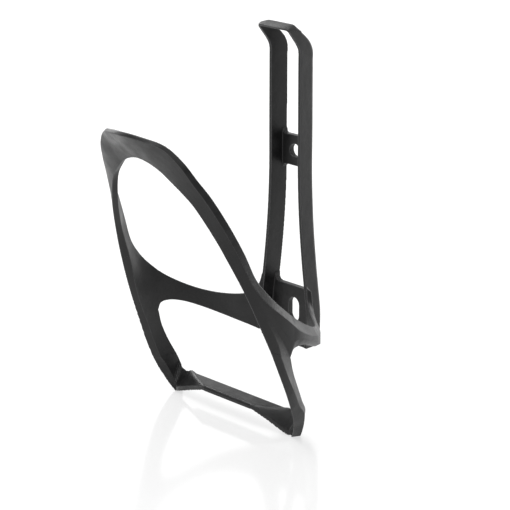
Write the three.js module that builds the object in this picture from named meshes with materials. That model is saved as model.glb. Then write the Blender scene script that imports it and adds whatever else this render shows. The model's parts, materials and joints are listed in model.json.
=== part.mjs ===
// Water bottle cage: one thin injection moulding that holds a 73-74 mm bicycle bottle.
// Millimetres. +Z runs up the bottle's axis, +Y points at the bicycle frame, -Y is the open front.
// Everything is laid out around the bottle's axis (x = 0, y = 0), with z = 0 at the upper bolt hole.
// The finished group is then moved so that the middle of its base is the origin.
//
// The moulding is divided where its members meet, so that each member is a plain closed solid.
import * as THREE from 'three';

// ---- driving dimensions ----
const BOLT_SPACING = 64; // the standard distance between a bicycle's two bottle bolts
const MOUNT_PLANE = 44.6; // bottle axis to the face that lies on the bicycle frame
const SPINE_FRONT = 36.9; // bottle axis to the front edges of the two rails
const BAND = 2.4; // thickness of the ring's sides, the arms and the legs
const CROWN_WALL = 1.7; // thickness at the middle of the crown
const RIM = 0.5; // thickness left at the edges where the outer face is chamfered away
const UNDERCUT = 2.4; // how far the inner face of a leg stands back from its front edge
const GAP = 0.3; // clearance left where two members meet
const RAIL = 1.45; // thickness of a rail
const RAIL_SPLAY = 0.7; // how much further out the front edge of a rail stands than its back edge
const PLATE = 2.3; // thickness of the two bolt plates
const UPPER_PLATE_TOP = 6.0;
const UPPER_PLATE_BOTTOM = -6.0;
const LOWER_PLATE_TOP = -54.3;
const SPINE_BOTTOM = -78.6;
const BOLT_HOLE = 5.3; // round hole for an M5 bolt
const SLOT_WIDTH = 5.6;
const SLOT_LENGTH = 9.8; // the lower bolt's slot, end to end
const HOOK_TOP = 50.8; // highest point
const BRIDGE_BOTTOM = 48.0; // underside of the bridge that joins the two rails
const RAIL_TOP = 36; // where the rails start to lean forwards
const FLOOR = -98.7; // lowest point of the two toes
const BAR_TOP = -90.4; // where the bottle's base stands
const BAR_THICKNESS = 2.1;
const BAR_FRONT = 6.6; // bottle axis to the bar's front edge
const BAR_BACK = 13.9; // bottle axis to the bar's back edge
const BAR_FRONT_HALF = 13.0; // half the length of the bar's front edge
const BAR_BACK_HALF = 25.3;
const WEB = 1.9; // thickness of the sloping webs of the foot

const cage = new THREE.Group();

// ---- helpers ----
const { degToRad, lerp, mapLinear, smoothstep } = THREE.MathUtils;
const point = (x, y, z) => new THREE.Vector3(x, y, z);
const fromMountPlane = (x, y, z) => point(x, MOUNT_PLANE + y, z);

// A smooth curve through hand-picked points of three numbers each.
function through(points) {
  return new THREE.CatmullRomCurve3(points.map((p) => point(...p)), false, 'centripetal');
}

// A value that changes smoothly with height, from a short list of [height, value] going down.
function profile(knots) {
  const samples = through(knots.map(([z, value]) => [z, value, 0])).getPoints(60);
  return (z) => {
    const below = samples.findIndex((p) => p.x <= z);
    if (below === 0) return samples[0].y;
    if (below < 0) return samples.at(-1).y;
    const [a, b] = [samples[below - 1], samples[below]];
    return mapLinear(z, a.x, b.x, a.y, b.y);
  };
}

// Makes the faces of a closed surface point outwards.
function facingOut(geometry) {
  const position = geometry.getAttribute('position');
  const index = Array.from(geometry.getIndex().array);
  const corner = (i) => point().fromBufferAttribute(position, index[i]);
  let volume = 0;
  for (let i = 0; i < index.length; i += 3) {
    volume += corner(i).dot(corner(i + 1).cross(corner(i + 2)));
  }
  if (volume < 0) index.reverse();
  geometry.setIndex(index);
  geometry.computeVertexNormals();
  return geometry;
}

// Skins a row of sections that all have the same even number of points. The first half of a section
// is one side of the member and the second half runs back along its other side, so that a strip of
// quads between the halves closes each end.
function skin(sections) {
  const count = sections[0].length;
  const index = [];
  const quad = (a, b, c, d) => index.push(a, b, c, a, c, d);
  for (let s = 0; s + 1 < sections.length; s += 1) {
    for (let i = 0; i < count; i += 1) {
      const j = (i + 1) % count;
      quad(s * count + i, s * count + j, (s + 1) * count + j, (s + 1) * count + i);
    }
  }
  const last = (sections.length - 1) * count;
  for (let i = 0; i + 1 < count / 2; i += 1) {
    const across = count - 1 - i;
    quad(i, across, across - 1, i + 1);
    quad(last + i, last + i + 1, last + across - 1, last + across);
  }
  const geometry = new THREE.BufferGeometry();
  geometry.setAttribute('position', new THREE.Float32BufferAttribute(
    sections.flat().flatMap((p) => [p.x, p.y, p.z]),
    3,
  ));
  geometry.setIndex(index);
  return facingOut(geometry);
}

// More sections between the given ones, so that each of their points follows a smooth curve.
function smoothed(sections, steps) {
  const curves = sections[0].map((_, i) => new THREE.CatmullRomCurve3(
    sections.map((section) => section[i]),
    false,
    'centripetal',
  ));
  return Array.from({ length: steps + 1 }, (_, s) => curves.map((curve) => curve.getPoint(s / steps)));
}

function add(name, geometry) {
  const material = new THREE.MeshStandardMaterial({ color: 0x1b1c1d, roughness: 0.55, metalness: 0 });
  const mesh = new THREE.Mesh(geometry, material);
  mesh.name = name;
  cage.add(mesh);
}

// Adds a member on the +X side and its mirror image on the -X side.
function addPair(name, geometry) {
  add(`${name}_right`, geometry);
  add(`${name}_left`, facingOut(geometry.clone().scale(-1, 1, 1)));
}

// Half the clear width between the rails, at their back edges.
const halfWidth = profile([[36, 6.4], [10, 6.5], [-8, 6.5], [-22, 7.1], [-34, 8.1], [-46, 9.5], [-56, 10.9],
  [-62, 11.6], [-70, 11.4], [-77, 10.4]]);

// ---- ring members ----
// An edge is a list of [angle, height, radius, slope]: the angle is in degrees round the bottle's axis,
// from the front towards +X, and the slope is the width of the chamfer that takes the outer face down
// to that edge. The front and back edges of a member have the same number of points, which face each
// other across it.

// An edge as a function of the part of the way along it.
function edge(points) {
  const places = through(points.map(([angle, z, radius]) => [angle, z, radius]));
  const slopes = through(points.map((p) => [p[3], 0, 0]));
  return (t) => ({ place: places.getPoint(t), slope: slopes.getPoint(t).x });
}

// The point a part of the way across a member, from its front edge to its back edge.
function across(front, back, part) {
  const { x: angle, y: z, z: radius } = front.place.clone().lerp(back.place, part);
  return point(radius * Math.sin(degToRad(angle)), -radius * Math.cos(degToRad(angle)), z);
}

// The direction through the wall, from its outer face towards the bottle.
function inward(front, back, t) {
  const step = 0.002;
  const [before, after] = [Math.max(t - step, 0), Math.min(t + step, 1)];
  const along = across(front(after), back(after), 0.5).sub(across(front(before), back(before), 0.5));
  const width = across(front(t), back(t), 0.8).sub(across(front(t), back(t), 0.2));
  const normal = along.cross(width).normalize();
  const middle = across(front(t), back(t), 0.5).setZ(0);
  return normal.dot(middle) > 0 ? normal.negate() : normal;
}

// One section across a member: its outer face and back rim, then its inner face and front rim. The
// inner face starts behind the front edge where the member is undercut.
function bandSection(front, back, normal, { thickness = BAND, undercut = 0 } = {}) {
  const span = across(front, back, 0).distanceTo(across(front, back, 1));
  const start = front.slope / span;
  const end = 1 - back.slope / span;
  const parts = [0, 0.25, 0.5, 0.75, 1];
  const outside = parts.map((part) => across(front, back, lerp(start, end, part)));
  const inside = parts.map((part) => across(front, back, lerp(1, undercut / span, part))
    .addScaledVector(normal, thickness));
  const depth = thickness - RIM;
  const rim = (part) => across(front, back, part).addScaledVector(normal, depth);
  outside.push(rim(1));
  inside.push(rim((undercut / span) * (depth / thickness)));
  return { outside, inside };
}

// The member between two edges, from part t0 to part t1 of the way along them.
function band(front, back, t0, t1, steps, wall = () => ({})) {
  return Array.from({ length: steps + 1 }, (_, i) => {
    const t = lerp(t0, t1, i / steps);
    const { outside, inside } = bandSection(front(t), back(t), inward(front, back, t), wall(t));
    return [...outside, ...inside];
  });
}

// From the middle of the crown down to where arm and leg part. The crown leans out to lead the bottle in.
const windowPoints = [[0, 10.8, 35.6, 0], [9, 9.7, 35.4, 0], [17, 7.4, 35.5, 0], [24, 4.2, 35.8, 0],
  [31, 0.6, 36.4, 0], [38, -4.1, 36.9, 0], [49.6, -15.7, 37.6, 0], [57, -25.0, 37.9, 0],
  [64.5, -35.2, 38.4, 0], [71.5, -46, 38.8, 0], [80, -59.5, 39.3, 0]];
const upperPoints = [[0, 20.8, 43.8, 0.3], [11.5, 20.1, 43.1, 0.3], [23.6, 17.6, 41.9, 0.3],
  [32.1, 12.3, 41.5, 0.5], [39.2, 5.6, 40.6, 0.9], [46.5, -0.8, 39.8, 1.4], [58.1, -12.8, 39.0, 1.9],
  [65.8, -22.2, 38.9, 2.1], [73, -32.3, 39.0, 2.4], [83, -40.2, 39.3, 3.0], [97, -48.4, 39.6, 3.7]];
// Where arm and leg part, at the front corner of the low window.
const corner = [96.5, -64.8, 39.7];
const cornerToLeg = 7.5; // widths of the chamfer round that corner
const cornerToArm = 6.6;
// From there round to the spine, and down to the foot.
const armBottom = edge([[...corner, cornerToArm], [98.5, -62.2, 39.8, 4.4], [104, -61.5, 39.9, 2.6],
  [113, -62.7, 40.1, 1.6], [124, -65.5, 40.4, 1.2], [136, -68.8, 40.6, 1.0], [148, -71.7, 40.6, 1.0],
  [154, -72.9, 40.6, 1.0], [158, -73.7, 40.6, 0.9], [160.4, -74.2, 40.6, 0.9]]);
const armTop = edge([[97, -48.4, 39.6, 3.7], [101.5, -50.5, 39.8, 3.8], [107, -52.8, 39.9, 3.7],
  [115, -55.7, 40.1, 3.5], [125, -58.5, 40.4, 3.3], [136, -60.2, 40.6, 3.1], [148, -60.2, 40.6, 2.8],
  [154.5, -59.0, 40.8, 2.4], [158.4, -56.4, 41.0, 2.0], [161.4, -51.4, 41.3, 1.4]]);
const legFront = edge([[80, -59.5, 39.3, 0], [85, -68.2, 39.4, 0], [90, -77, 39.7, 0],
  [94.4, -84.5, 39.5, 0]]);
const legBack = edge([[...corner, cornerToLeg], [98.4, -70, 39.8, 5.3], [103, -77.3, 39.9, 4.6],
  [108.6, -84.5, 39.8, 4.6]]);

const crownEnd = 0.36; // parts of the way from the crown's middle to the parting
const sideEnd = 0.84;
const cut = 0.0015; // half the clearance, as a part of that way

// The ring's wall, by the part of the way from the crown's middle: it thickens off the crown, and is
// undercut more and more towards the leg.
const ringWall = (t) => ({
  thickness: lerp(CROWN_WALL, BAND, smoothstep(t, 0.05, crownEnd)),
  undercut: UNDERCUT * smoothstep(t, 0.6, sideEnd),
});

function crown() {
  const whole = (points) => edge([
    ...points.slice(1).reverse().map(([angle, z, radius, slope]) => [-angle, z, radius, slope]),
    ...points,
  ]);
  const reach = (crownEnd - cut) / 2;
  const wall = (t) => ringWall(Math.abs(2 * t - 1));
  return skin(band(whole(windowPoints), whole(upperPoints), 0.5 - reach, 0.5 + reach, 56, wall));
}

function side() {
  return skin(band(edge(windowPoints), edge(upperPoints), crownEnd + cut, sideEnd - cut, 42, ringWall));
}

// The junction: a lower half that becomes the leg and an upper half that becomes the arm.
function junction() {
  const [frontEdge, backEdge] = [edge(windowPoints), edge(upperPoints)];
  const closed = 0.8; // width of the chamfers where the low window's corner hasn't opened yet
  const steps = 16;
  const sections = [];
  for (let i = 0; i <= steps; i += 1) {
    const t = lerp(sideEnd + cut, 1 - cut, i / steps);
    const open = (i / steps) ** 2;
    const [front, back] = [frontEdge(t), backEdge(t)];
    const parting = front.place.clone().lerp(back.place, 0.45).lerp(point(...corner), open);
    const normal = inward(frontEdge, backEdge, t);
    const turned = (towards) => normal.clone().lerp(towards, open).normalize();
    const [toLeg, toArm] = [turned(inward(legFront, legBack, 0)), turned(inward(armBottom, armTop, 0))];
    const lowerBack = { place: parting, slope: lerp(closed, cornerToLeg, open) };
    const upperFront = { place: parting, slope: lerp(closed, cornerToArm, open) };
    const lower = bandSection(front, lowerBack, toLeg, { undercut: UNDERCUT });
    const upper = bandSection(upperFront, back, toArm);
    const [lowerRim, upperRim] = [lower.inside.at(-1), upper.outside.at(-1)];
    const inner = upper.inside.at(-2);
    const hollow = inner.clone().addScaledVector(toArm, -lerp(BAND, RIM, open));
    sections.push([
      ...lower.outside.slice(0, -1), hollow, ...upper.outside.slice(0, -1), upperRim,
      ...upper.inside.slice(0, -1), ...lower.inside.slice(1, -1), lowerRim,
      lowerRim.clone().lerp(lower.outside[0], 0.4),
      lowerRim.clone().lerp(lower.outside[0], 0.8),
    ]);
  }
  return skin(sections);
}

// The arm ends flat against the outer face of its rail.
function arm() {
  const sections = band(armBottom, armTop, 0.005, 1, 48);
  sections.flat().forEach((p) => {
    p.x = Math.max(p.x, halfWidth(p.z) + RAIL_SPLAY + RAIL + GAP);
  });
  return skin(sections);
}

const leg = () => skin(band(legFront, legBack, 0.012, 0.99, 22, () => ({ undercut: UNDERCUT })));

// ---- foot ----
// A foot member between sections whose points are each x, distance from the mounting plane, and height.
function footMember(sections, steps) {
  return skin(smoothed(sections.map((section) => section.map((p) => fromMountPlane(...p))), steps));
}

// The leg's lower end runs on down to a toe. Each section is outer front, outer back and back rim, then
// inner back, inner front and front rim.
function toe() {
  return footMember([
    [
      [39.4, -41.5, -84.6], [38.8, -36.3, -84.6], [35.9, -32.1, -84.6],
      [35.4, -32.2, -84.6], [36.8, -39.5, -84.6], [37.4, -39.9, -84.6],
    ],
    [
      [38.6, -39.8, -88.6], [38.2, -33.4, -88.2], [35.8, -30.5, -88.1],
      [35.3, -30.7, -88.0], [36.3, -37.2, -87.9], [36.8, -37.7, -88.0],
    ],
    [
      [37.2, -38.1, -92.4], [37.0, -32.2, -92.2], [34.9, -30.6, -92.0],
      [34.4, -30.8, -92.0], [34.9, -35.7, -91.8], [35.4, -36.2, -91.9],
    ],
    [
      [35.4, -36.6, -95.9], [36.0, -32.1, -96.0], [34.1, -31.0, -95.9],
      [33.6, -31.0, -95.8], [33.4, -34.8, -95.4], [33.8, -35.2, -95.5],
    ],
    [
      [33.2, -35.4, FLOOR], [34.8, -32.0, FLOOR], [33.3, -31.3, FLOOR],
      [32.9, -31.3, FLOOR], [32.2, -34.0, FLOOR], [32.4, -34.4, FLOOR],
    ],
  ], 16);
}

// The web curves out of the toe's inner face, slopes up to the bar's end, and has a low hump just before
// it. Each section is top front, top back, bottom back, bottom front.
function footWeb() {
  const below = ([x, y, z], thickness = WEB) => [x, y, z - thickness];
  const slab = (front, back, frontThickness) => [front, back, below(back), below(front, frontThickness)];
  return footMember([
    [[33.5, -35.1, -94.2], [34.7, -31.0, -87.6], [34.1, -31.1, -89.2], [32.9, -35.2, -95.6]],
    slab([32.0, -35.7, -96.2], [33.4, -31.2, -89.5], 2.1),
    slab([30.4, -36.1, -96.0], [31.9, -31.3, -90.2], 2.0),
    slab([27.0, -36.5, -94.9], [29.9, -31.3, -90.3]),
    slab([22.0, -36.9, -93.2], [28.3, -31.0, BAR_TOP + 0.8]),
    slab([15.6, -37.7, -91.1], [26.8, -30.9, BAR_TOP + 0.6]),
    slab([13.3, -37.9, BAR_TOP], [25.6, -30.8, BAR_TOP]),
  ], 30);
}

// The flat bar between the webs. Its ends slant outwards to the back and its upper front edge is rounded.
function footBar() {
  const edgeRadius = 1.1;
  const turns = [0, 22.5, 45, 67.5, 90].map(degToRad);
  const top = [
    [BAR_BACK, BAR_TOP],
    [(BAR_FRONT + BAR_BACK) / 2, BAR_TOP],
    ...turns.map((turn) => [
      BAR_FRONT + edgeRadius * (1 - Math.sin(turn)),
      BAR_TOP - edgeRadius * (1 - Math.cos(turn)),
    ]),
  ];
  const bottom = top.map((_, i) => [
    lerp(BAR_FRONT, BAR_BACK, i / (top.length - 1)),
    BAR_TOP - BAR_THICKNESS,
  ]);
  const end = (side) => [...top, ...bottom].map(([y, z]) => point(
    side * mapLinear(y, BAR_FRONT, BAR_BACK, BAR_FRONT_HALF, BAR_BACK_HALF),
    y,
    z,
  ));
  return skin([end(-1), end(1)]);
}

// ---- spine ----
// A rail's section between a front and a back point of the spine's side view, each [y, z]. The inner and
// outer faces are each given by their x at the back and at the front. The outer back edge is rounded.
function railSection(front, back, inner, outer) {
  const at = (face, part, inset = 0) => point(
    lerp(...face, part) - inset,
    lerp(back[0], front[0], part),
    lerp(back[1], front[1], part),
  );
  return [
    at(outer, 0.92), at(outer, 0.5), at(outer, 0.15), at(outer, 0.04, 0.25), at(outer, 0, 0.8),
    at(inner, 0), at(inner, 0.3), at(inner, 0.6), at(inner, 1), at(outer, 1),
  ];
}

function rail() {
  const bottom = SPINE_BOTTOM + 2.6;
  const steps = 44;
  return skin(Array.from({ length: steps + 1 }, (_, i) => {
    const z = lerp(RAIL_TOP, bottom, i / steps);
    const inner = [halfWidth(z), halfWidth(z) + RAIL_SPLAY];
    return railSection([SPINE_FRONT, z], [MOUNT_PLANE, z], inner, inner.map((x) => x + RAIL));
  }));
}

// Above the straight part the rails lean forwards over the bottle's shoulder and thicken at the back.
// The side view is a list of front and back points, each a distance from the mounting plane and a height.
function hookRail() {
  const depth = SPINE_FRONT - MOUNT_PLANE;
  const sideView = [
    [[depth, RAIL_TOP + GAP], [0, RAIL_TOP + GAP]],
    [[depth, 39.4], [0, 38.9]],
    [[-8.1, 41.2], [-0.5, 40.9]],
    [[-9.4, 43.4], [-1.8, 43.3]],
    [[-11.5, 46.0], [-4.0, 45.6]],
    [[-13.6, 48.6], [-6.5, 47.6]],
  ];
  const half = halfWidth(RAIL_TOP);
  const [innerTop, outerTop] = [[5.3, 7.5], [8.2, 8.5]];
  const sections = smoothed(sideView.map((sides, i) => {
    const rise = i / (sideView.length - 1);
    const [front, back] = sides.map(([y, z]) => [MOUNT_PLANE + y, z]);
    const inner = [half, half + RAIL_SPLAY].map((x, side) => lerp(x, innerTop[side], rise));
    const outer = [half, half + RAIL_SPLAY].map((x, side) => lerp(x + RAIL, outerTop[side], rise));
    return railSection(front, back, inner, outer);
  }), 20);
  sections.flat().forEach((p) => p.setY(Math.min(p.y, MOUNT_PLANE)));
  return skin(sections);
}

// The bridge lies across both rails' ends, with its upper corners rounded off: a section's drop says how
// far down it is rounded, from 0 on top to 1 at the underside.
function hookBridge() {
  const section = (x, drop) => [
    fromMountPlane(x, lerp(-13.9, -13.3, drop), BRIDGE_BOTTOM + 0.9),
    fromMountPlane(x, lerp(-14.2, -13.4, drop), lerp(HOOK_TOP - 1.2, BRIDGE_BOTTOM + 1.2, drop)),
    fromMountPlane(x, -12.9, lerp(HOOK_TOP - 0.2, BRIDGE_BOTTOM + 1.4, drop)),
    fromMountPlane(x, -9.8, lerp(HOOK_TOP, BRIDGE_BOTTOM + 1.0, drop)),
    fromMountPlane(x, -8.2, lerp(HOOK_TOP - 1.5, BRIDGE_BOTTOM + 0.4, drop)),
    fromMountPlane(x, -6.8, BRIDGE_BOTTOM - 0.1),
  ];
  const ends = [[8.3, 0.85], [8.05, 0.45], [7.3, 0.16], [5.8, 0]];
  const sections = smoothed([
    ...ends.map(([x, drop]) => section(-x, drop)),
    ...ends.reverse().map(([x, drop]) => section(x, drop)),
  ], 35);
  sections.flat().forEach((p) => p.setZ(Math.min(p.z, HOOK_TOP)));
  return skin(sections);
}

// A plate in the mounting plane, drawn as seen from the front (x across, z up).
function plate(outline) {
  const slab = new THREE.ExtrudeGeometry(outline, { depth: PLATE, bevelEnabled: false, curveSegments: 10 });
  return slab.rotateX(Math.PI / 2).translate(0, MOUNT_PLANE, 0);
}

// Half the width of a plate, which just clears the rails.
const plateHalf = (z) => halfWidth(z) - GAP;

function upperPlate() {
  const half = plateHalf(0);
  const fillet = 1.2;
  const outline = new THREE.Shape();
  outline.moveTo(-half, UPPER_PLATE_BOTTOM - fillet);
  outline.quadraticCurveTo(-half, UPPER_PLATE_BOTTOM, -half + fillet, UPPER_PLATE_BOTTOM);
  outline.lineTo(half - fillet, UPPER_PLATE_BOTTOM);
  outline.quadraticCurveTo(half, UPPER_PLATE_BOTTOM, half, UPPER_PLATE_BOTTOM - fillet);
  outline.lineTo(half, UPPER_PLATE_TOP + fillet);
  outline.quadraticCurveTo(half, UPPER_PLATE_TOP, half - fillet, UPPER_PLATE_TOP);
  outline.lineTo(-half + fillet, UPPER_PLATE_TOP);
  outline.quadraticCurveTo(-half, UPPER_PLATE_TOP, -half, UPPER_PLATE_TOP + fillet);
  outline.closePath();
  outline.holes.push(new THREE.Path().absarc(0, 0, BOLT_HOLE / 2, 0, 2 * Math.PI, true));
  return plate(outline);
}

function lowerPlate() {
  const fillet = 2.6;
  const heights = [-55.5, -58, -60.5, -63, -65.5, -68, -70.5, -73];
  const cornerHalf = 6; // half the straight part of the bottom edge
  const top = plateHalf(LOWER_PLATE_TOP);
  const filletHalf = plateHalf(LOWER_PLATE_TOP + fillet);
  const outline = new THREE.Shape();
  outline.moveTo(-top + fillet, LOWER_PLATE_TOP);
  outline.quadraticCurveTo(-top, LOWER_PLATE_TOP, -filletHalf, LOWER_PLATE_TOP + fillet);
  heights.forEach((z) => outline.lineTo(-plateHalf(z), z));
  outline.quadraticCurveTo(-plateHalf(SPINE_BOTTOM), SPINE_BOTTOM, -cornerHalf, SPINE_BOTTOM);
  outline.lineTo(cornerHalf, SPINE_BOTTOM);
  outline.quadraticCurveTo(plateHalf(SPINE_BOTTOM), SPINE_BOTTOM, plateHalf(heights.at(-1)), heights.at(-1));
  [...heights].reverse().slice(1).forEach((z) => outline.lineTo(plateHalf(z), z));
  outline.lineTo(filletHalf, LOWER_PLATE_TOP + fillet);
  outline.quadraticCurveTo(top, LOWER_PLATE_TOP, top - fillet, LOWER_PLATE_TOP);
  outline.closePath();
  const slot = new THREE.Path();
  const rise = (SLOT_LENGTH - SLOT_WIDTH) / 2;
  slot.absarc(0, rise - BOLT_SPACING, SLOT_WIDTH / 2, 0, Math.PI, false);
  slot.absarc(0, -rise - BOLT_SPACING, SLOT_WIDTH / 2, Math.PI, 2 * Math.PI, false);
  slot.closePath();
  outline.holes.push(slot);
  return plate(outline);
}

add('crown', crown());
addPair('side', side());
addPair('junction', junction());
addPair('arm', arm());
addPair('leg', leg());
addPair('toe', toe());
addPair('foot_web', footWeb());
add('foot_bar', footBar());
addPair('rail', rail());
addPair('hook_rail', hookRail());
add('hook_bridge', hookBridge());
add('upper_plate', upperPlate());
add('lower_plate', lowerPlate());

// The origin is the middle of the base of the whole cage.
const bounds = new THREE.Box3().setFromObject(cage);
const middle = bounds.getCenter(point());
cage.position.set(-middle.x, -middle.y, -bounds.min.z);

export default cage;
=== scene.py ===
import json
from math import cos, radians, sin

import bmesh
import bpy
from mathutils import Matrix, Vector
from mathutils.bvhtree import BVHTree


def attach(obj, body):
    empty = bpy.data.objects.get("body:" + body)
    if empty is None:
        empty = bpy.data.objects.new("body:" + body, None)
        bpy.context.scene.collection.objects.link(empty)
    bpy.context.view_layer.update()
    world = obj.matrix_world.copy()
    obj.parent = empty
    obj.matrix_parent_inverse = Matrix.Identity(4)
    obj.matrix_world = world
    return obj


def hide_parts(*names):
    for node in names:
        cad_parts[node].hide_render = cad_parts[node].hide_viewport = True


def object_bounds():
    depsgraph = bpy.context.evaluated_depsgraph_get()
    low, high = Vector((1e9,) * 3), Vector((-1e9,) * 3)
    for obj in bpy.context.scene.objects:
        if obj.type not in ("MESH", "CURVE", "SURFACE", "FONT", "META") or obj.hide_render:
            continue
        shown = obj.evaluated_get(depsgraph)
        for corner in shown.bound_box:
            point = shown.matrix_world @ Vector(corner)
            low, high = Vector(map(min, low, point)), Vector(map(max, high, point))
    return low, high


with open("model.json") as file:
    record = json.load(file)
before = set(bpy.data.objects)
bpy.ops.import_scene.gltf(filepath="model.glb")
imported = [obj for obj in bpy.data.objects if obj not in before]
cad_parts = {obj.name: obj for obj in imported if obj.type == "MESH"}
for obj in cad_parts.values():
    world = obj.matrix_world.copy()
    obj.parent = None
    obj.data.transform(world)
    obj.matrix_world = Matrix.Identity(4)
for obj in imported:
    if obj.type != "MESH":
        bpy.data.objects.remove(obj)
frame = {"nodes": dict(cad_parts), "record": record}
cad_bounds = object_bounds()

MM = 0.001

# ---- dimensions ----
SKIN_VOXEL = 0.18 * MM  # the spacing of the skin's points
SMOOTHING = 4  # passes that round off edges and corners
JOINT_REACH = 1.3 * MM  # the widest clearance between two solids that the skin closes
JOINT_OVERLAP = 0.05 * MM  # how far the filling of a clearance runs into the solids on both sides
FACING = 0.7  # how squarely a face has to look at the next solid, as a cosine
SHORTEST_SQUARED = 1e-12  # square metres: the least that an edge's squared length counts as

FLOOR_REACH = 6  # from the cage to each edge of the floor
LIGHT_DISTANCE = 1.0

CAMERA_AZIMUTH = 47.0  # degrees from the open front towards +X
CAMERA_ELEVATION = 17.27  # degrees above the floor
CAMERA_DISTANCE = 785 * MM
CAMERA_LENS = 147.7  # mm
CAMERA_SENSOR = 36  # mm wide
AIM_FROM_UPPER_HOLE = Vector((8.5, -30.9, -33.8)) * MM

# ---- looks ----
BLACK = (0.006, 0.006, 0.0063)
CLOUDED_BLACK = (0.011, 0.011, 0.0113)
FLOW_BLACK = (0.015, 0.015, 0.015)
# painted highlight: the pale grey that sharply rounded edges are blended towards
EDGE_HIGHLIGHT_GREY = (0.10, 0.10, 0.102)
FLOOR_GREY = (0.3, 0.3, 0.3)
WHITE = (1, 1, 1)
NOISE_LOW = 0.3  # most of a noise texture lies between these two values
NOISE_HIGH = 0.7
BEND = "bend"  # the attribute that says how sharply the skin bends outwards, in 1/mm

# ---- the frame ----
nodes = frame["nodes"]
mounts = {mount["name"]: Vector(mount["pos_m"]) for mount in frame["record"]["mounts"]}
floor_z = cad_bounds[0][2]
upper_hole = Vector((0, mounts["frame_face_upper"].y, mounts["frame_face_upper"].z))


# ---- mesh helpers ----
def new_object(name, data):
    """An object in the scene with a mesh, a light or a camera as its data."""
    obj = bpy.data.objects.new(name, data)
    bpy.context.scene.collection.objects.link(obj)
    return obj


def joined(meshes):
    """One bmesh with a copy of each mesh in it, and for each face the number of the mesh it came from."""
    bm = bmesh.new()
    owner = []
    for number, mesh in enumerate(meshes):
        bm.from_mesh(mesh)
        bm.faces.ensure_lookup_table()
        owner += [number] * (len(bm.faces) - len(owner))
    return bm, owner


def evaluated(obj):
    """A new mesh with the object's modifiers applied."""
    graph = bpy.context.evaluated_depsgraph_get()
    return bpy.data.meshes.new_from_object(obj.evaluated_get(graph))


def voxel_remesh(obj):
    """Makes one even closed skin round all the overlapping shells of the object."""
    remesh = obj.modifiers.new("remesh", "REMESH")
    remesh.mode = "VOXEL"
    remesh.voxel_size = SKIN_VOXEL


def smooth(obj, passes):
    """Relaxes the mesh, which rounds off its edges."""
    relax = obj.modifiers.new("smooth", "SMOOTH")
    relax.factor = 0.5
    relax.iterations = passes


def search_tree(mesh):
    corners = [vertex.co for vertex in mesh.vertices]
    faces = [polygon.vertices for polygon in mesh.polygons]
    return BVHTree.FromPolygons(corners, faces)


# ---- the moulding ----
def across_gap(mesh, face, tree):
    """The places on another solid that a face's corners look at across a clearance, or None."""
    place, _, _, distance = tree.find_nearest(face.center, JOINT_REACH)
    if place is None or face.normal.dot(place - face.center) < FACING * distance:
        return None
    places = [tree.find_nearest(mesh.vertices[index].co, JOINT_REACH)[0] for index in face.vertices]
    return None if None in places else places


def joint_filling(meshes):
    """Closed prisms from each face that looks across a clearance to the next solid."""
    trees = [search_tree(mesh) for mesh in meshes]
    bm = bmesh.new()
    for number, mesh in enumerate(meshes):
        for tree in trees[:number] + trees[number + 1:]:
            for face in mesh.polygons:
                places = across_gap(mesh, face, tree)
                if places:
                    prism(bm, [mesh.vertices[index].co for index in face.vertices], places, face.normal)
    filling = bpy.data.meshes.new("filling")
    bm.to_mesh(filling)
    bm.free()
    return filling


def prism(bm, corners, places, normal):
    """A prism between two faces, sunk a little into the solids on both sides."""
    low = [bm.verts.new(corner - normal * JOINT_OVERLAP) for corner in corners]
    high = [bm.verts.new(place + normal * JOINT_OVERLAP) for place in places]
    bm.faces.new(reversed(low))
    bm.faces.new(high)
    for i, _ in enumerate(corners):
        bm.faces.new((low[i - 1], low[i], high[i], high[i - 1]))


def moulding_skin(meshes):
    """The solids run together into one smooth closed skin."""
    bm, _ = joined([*meshes, joint_filling(meshes)])
    mesh = bpy.data.meshes.new("skin")
    bm.to_mesh(mesh)
    bm.free()
    obj = new_object("skin", mesh)
    voxel_remesh(obj)
    smooth(obj, SMOOTHING)
    skin = evaluated(obj)
    bpy.data.objects.remove(obj)
    return skin


def convexity(skin):
    """How sharply the skin bends outwards at each vertex, in 1/mm."""
    bend = [0.0] * len(skin.vertices)
    count = [0] * len(skin.vertices)
    for edge in skin.edges:
        a, b = (skin.vertices[index] for index in edge.vertices)
        span = b.co - a.co
        turn = (b.normal - a.normal).dot(span) / max(span.length_squared, SHORTEST_SQUARED) * MM
        for index in edge.vertices:
            bend[index] += turn
            count[index] += 1
    return [total / max(number, 1) for total, number in zip(bend, count)]


def pieces_of(skin, names, solids, owner):
    """Divides the skin into one closed mesh for each node: the faces nearest to that node's solid."""
    tree = BVHTree.FromBMesh(solids)
    faces_of = {name: [] for name in names}
    for face in skin.polygons:
        nearest = tree.find_nearest(face.center)[2]
        faces_of[names[owner[nearest]]].append(face.index)
    bends = convexity(skin)
    return {name: closed_piece(name, skin, faces, bends) for name, faces in faces_of.items()}


def closed_piece(name, skin, faces, bends):
    """A closed mesh of some of the skin's faces, which keeps the whole skin's normals and bends."""
    bm = bmesh.new()
    made = {}
    for index in faces:
        corners = skin.polygons[index].vertices
        for corner in corners:
            if corner not in made:
                made[corner] = bm.verts.new(skin.vertices[corner].co)
        bm.faces.new([made[corner] for corner in corners])
    caps = bmesh.ops.holes_fill(bm, edges=[edge for edge in bm.edges if edge.is_boundary])
    bmesh.ops.triangulate(bm, faces=caps["faces"])
    mesh = bpy.data.meshes.new(name)
    bm.to_mesh(mesh)
    bm.free()
    mesh.shade_smooth()
    mesh.normals_split_custom_set_from_vertices([skin.vertices[corner].normal for corner in made])
    attribute = mesh.attributes.new(BEND, "FLOAT", "POINT")
    attribute.data.foreach_set("value", [bends[corner] for corner in made])
    return mesh


# ---- materials ----
def node_material(name):
    """A new material, its node tree and its shader."""
    material = bpy.data.materials.new(name)
    material.use_nodes = True
    tree = material.node_tree
    return material, tree, tree.nodes["Principled BSDF"]


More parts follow.
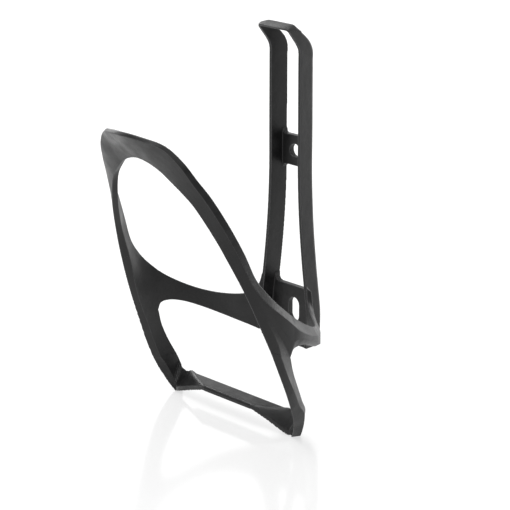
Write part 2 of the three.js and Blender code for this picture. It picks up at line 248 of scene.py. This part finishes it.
def noise(tree, scale, detail, roughness=0.5):
    """Noise in the object's own coordinates. Scale is the number of cells to a metre."""
    place = tree.nodes.new("ShaderNodeTexCoord")
    texture = tree.nodes.new("ShaderNodeTexNoise")
    texture.inputs["Scale"].default_value = scale
    texture.inputs["Detail"].default_value = detail
    texture.inputs["Roughness"].default_value = roughness
    tree.links.new(place.outputs["Object"], texture.inputs["Vector"])
    return texture.outputs["Fac"]


def remap(tree, value, low, high, start=NOISE_LOW, end=NOISE_HIGH):
    """Turns values from start to end into values from low to high."""
    scale = tree.nodes.new("ShaderNodeMapRange")
    for socket, number in zip(("From Min", "From Max", "To Min", "To Max"), (start, end, low, high)):
        scale.inputs[socket].default_value = number
    tree.links.new(value, scale.inputs["Value"])
    return scale.outputs["Result"]


def mix_colours(tree, factor, first, second):
    """A blend of two colours, each a colour or another blend's output."""
    blend = tree.nodes.new("ShaderNodeMix")
    blend.data_type = "RGBA"
    colour_sockets = [socket for socket in blend.inputs if socket.type == "RGBA"]
    for socket, colour in zip(colour_sockets, (first, second)):
        if isinstance(colour, bpy.types.NodeSocket):
            tree.links.new(colour, socket)
        else:
            socket.default_value = (*colour, 1)
    tree.links.new(factor, blend.inputs["Factor"])
    return next(socket for socket in blend.outputs if socket.type == "RGBA")


def bump(tree, height, distance, strength, after=None):
    """Relief as deep as distance, laid over an earlier relief if there is one."""
    relief = tree.nodes.new("ShaderNodeBump")
    relief.inputs["Distance"].default_value = distance
    relief.inputs["Strength"].default_value = strength
    tree.links.new(height, relief.inputs["Height"])
    if after:
        tree.links.new(after, relief.inputs["Normal"])
    return relief.outputs["Normal"]


def moulded_plastic():
    """Satin-matt black plastic: cloudy where it cooled, finely grained by the mould, with a painted
    highlight on its edges.
    """
    material, tree, shader = node_material("moulded_plastic")
    clouds = noise(tree, scale=180, detail=3)
    flow = noise(tree, scale=45, detail=2)
    grain = noise(tree, scale=4200, detail=2)
    colour = mix_colours(tree, remap(tree, clouds, 0, 1), BLACK, CLOUDED_BLACK)
    colour = mix_colours(tree, remap(tree, flow, 0, 0.5), colour, FLOW_BLACK)
    # painted highlight: where the skin bends sharply outwards, the colour is blended towards a pale grey
    # that stands in for the highlights on rounded edges
    bend = tree.nodes.new("ShaderNodeAttribute")
    bend.attribute_name = BEND
    edges = remap(tree, bend.outputs["Fac"], 0, 0.7, start=0.4, end=1.8)
    colour = mix_colours(tree, edges, colour, EDGE_HIGHLIGHT_GREY)
    tree.links.new(colour, shader.inputs["Base Color"])
    shader.inputs["Specular IOR Level"].default_value = 0.4
    tree.links.new(remap(tree, clouds, 0.33, 0.50), shader.inputs["Roughness"])
    ripples = bump(tree, clouds, distance=0.2 * MM, strength=0.8)
    grained = bump(tree, grain, distance=0.04 * MM, strength=0.8, after=ripples)
    tree.links.new(grained, shader.inputs["Normal"])
    return material


def glossy_white():
    """A pale surface that glows a little, so that it stays white and still reflects the cage."""
    material, tree, shader = node_material("glossy_white")
    shader.inputs["Base Color"].default_value = (*FLOOR_GREY, 1)
    shader.inputs["IOR"].default_value = 1.6
    shader.inputs["Emission Color"].default_value = (*WHITE, 1)
    shader.inputs["Emission Strength"].default_value = 0.6
    haze = noise(tree, scale=3, detail=1)
    tree.links.new(remap(tree, haze, 0.10, 0.13), shader.inputs["Roughness"])
    return material


# ---- stage ----
def floor():
    """A wide square floor at the height of the toes."""
    quarters = ((-1, -1), (1, -1), (1, 1), (-1, 1))
    corners = [(x * FLOOR_REACH, y * FLOOR_REACH, floor_z) for x, y in quarters]
    mesh = bpy.data.meshes.new("floor")
    mesh.from_pydata(corners, [], [(0, 1, 2, 3)])
    mesh.materials.append(glossy_white())
    obj = new_object("floor", mesh)


def from_angles(azimuth, elevation):
    """The direction at an angle from the open front towards +X, and an angle above the floor."""
    a, e = radians(azimuth), radians(elevation)
    return Vector((sin(a) * cos(e), -cos(a) * cos(e), sin(e)))


def look_at(obj, place, target):
    """Puts a light or a camera at a place and turns it to the target."""
    obj.location = place
    obj.rotation_euler = (target - place).to_track_quat("-Z", "Y").to_euler()


def area_light(name, azimuth, elevation, width, height, watts):
    """A soft rectangular light that looks at the middle of the cage."""
    light = bpy.data.lights.new(name, "AREA")
    light.shape = "RECTANGLE"
    light.size = width
    light.size_y = height
    light.energy = watts
    obj = new_object(name, light)
    middle = (Vector(cad_bounds[0]) + Vector(cad_bounds[1])) / 2
    look_at(obj, middle + from_angles(azimuth, elevation) * LIGHT_DISTANCE, middle)


def world_light(dim, bright):
    """Soft light from all round, bright from behind the cage and dim from the camera's side."""
    world = bpy.data.worlds.new("studio")
    world.use_nodes = True
    tree = world.node_tree
    background = tree.nodes["Background"]
    place = tree.nodes.new("ShaderNodeTexCoord")
    facing = tree.nodes.new("ShaderNodeVectorMath")
    facing.operation = "DOT_PRODUCT"
    facing.inputs[1].default_value = from_angles(CAMERA_AZIMUTH + 180, 0)
    tree.links.new(place.outputs["Generated"], facing.inputs[0])
    strength = remap(tree, facing.outputs["Value"], dim, bright, start=-0.2, end=1)
    tree.links.new(strength, background.inputs["Strength"])
    background.inputs["Color"].default_value = (*WHITE, 1)
    bpy.context.scene.world = world


def studio():
    world_light(dim=0.11, bright=1.1)
    area_light("front", azimuth=20, elevation=25, width=0.5, height=0.4, watts=2.4)
    area_light("left", azimuth=-95, elevation=30, width=0.6, height=0.6, watts=6)
    area_light("right", azimuth=100, elevation=45, width=0.6, height=0.5, watts=2)
    area_light("rim", azimuth=168, elevation=12, width=0.4, height=0.6, watts=2.5)
    area_light("top", azimuth=-40, elevation=80, width=0.6, height=0.6, watts=6)
    bpy.context.scene.view_settings.view_transform = "Standard"


def camera():
    lens = bpy.data.cameras.new("camera")
    lens.sensor_width = CAMERA_SENSOR
    lens.lens = CAMERA_LENS
    obj = new_object("camera", lens)
    aim = upper_hole + AIM_FROM_UPPER_HOLE
    look_at(obj, aim + from_angles(CAMERA_AZIMUTH, CAMERA_ELEVATION) * CAMERA_DISTANCE, aim)
    bpy.context.scene.camera = obj


def moulding():
    """The visual pieces: one closed piece of the skin in place of each CAD node."""
    names = sorted(nodes)
    meshes = [nodes[name].data for name in names]
    solids, owner = joined(meshes)
    skin = moulding_skin(meshes)
    plastic = moulded_plastic()
    for name, mesh in pieces_of(skin, names, solids, owner).items():
        mesh.materials.append(plastic)
        piece = new_object(f"{name}_skin", mesh)
        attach(piece, "root")
        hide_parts(name)
    solids.free()


camera()
studio()
floor()
moulding()
